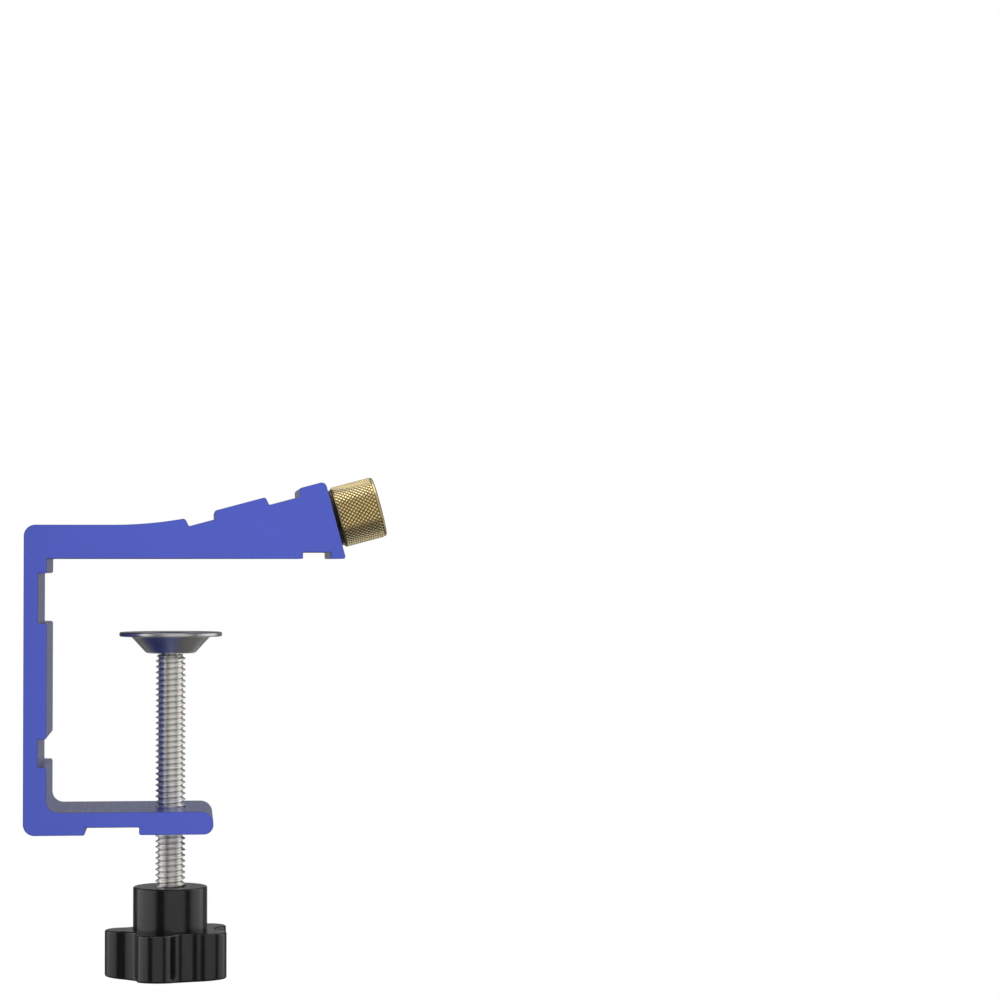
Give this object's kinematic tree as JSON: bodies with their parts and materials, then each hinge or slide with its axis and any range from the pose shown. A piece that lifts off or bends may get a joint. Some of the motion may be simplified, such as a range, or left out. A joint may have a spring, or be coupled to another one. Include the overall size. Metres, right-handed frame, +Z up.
{
  "type": "pocket hole jig",
  "caption": "C-shaped clamp frame with a ramped upper arm, a slanted drill bush and a knob-driven clamp screw with a swivel pad, for drilling pocket holes in a board.",
  "frame": {"origin": "inner corner where the fence face meets the work face, half way across the frame", "axes": "+X along the board away from the fence, +Y across the board, +Z up out of the board"},
  "size_m": [0.0958, 0.038, 0.1339],
  "materials": {
    "anodised_frame": "satin blue anodised extrusion",
    "brass_bush": "turned brass with a diamond knurl",
    "zinc_screw": "bright zinc plated steel",
    "black_knob": "glossy black moulded plastic",
    "pressed_pad": "smooth nickel plated pressed sheet",
    "steel_washer": "plain steel washer"
  },
  "bodies": {
    "frame": {"clamp_frame": "anodised_frame", "guide_bush": "brass_bush"},
    "carriage": {"retaining_washer": "steel_washer"},
    "screw": {"clamp_screw": "zinc_screw", "knob": "black_knob"},
    "pad": {"swivel_pad": "pressed_pad"}
  },
  "joints": [
    {"name": "screw_feed", "type": "slide", "parent": "frame", "child": "carriage", "axis": [0, 0, 1], "range_m": [-0.039, 0.015]},
    {"name": "screw_turn", "type": "hinge", "parent": "carriage", "child": "screw", "pos_m": [0.032, 0, 0], "axis": [0, 0, 1], "range_deg": [-9361, 3601]},
    {"name": "pad_rock", "type": "hinge", "parent": "carriage", "child": "pad", "pos_m": [0.032, 0, -0.02456], "axis": [0, 1, 0], "range_deg": [-3, 3]}
  ],
  "couplings": [
    {"joint": "screw_turn", "follows": "screw_feed", "rad_per_m": 4188.8}
  ]
}
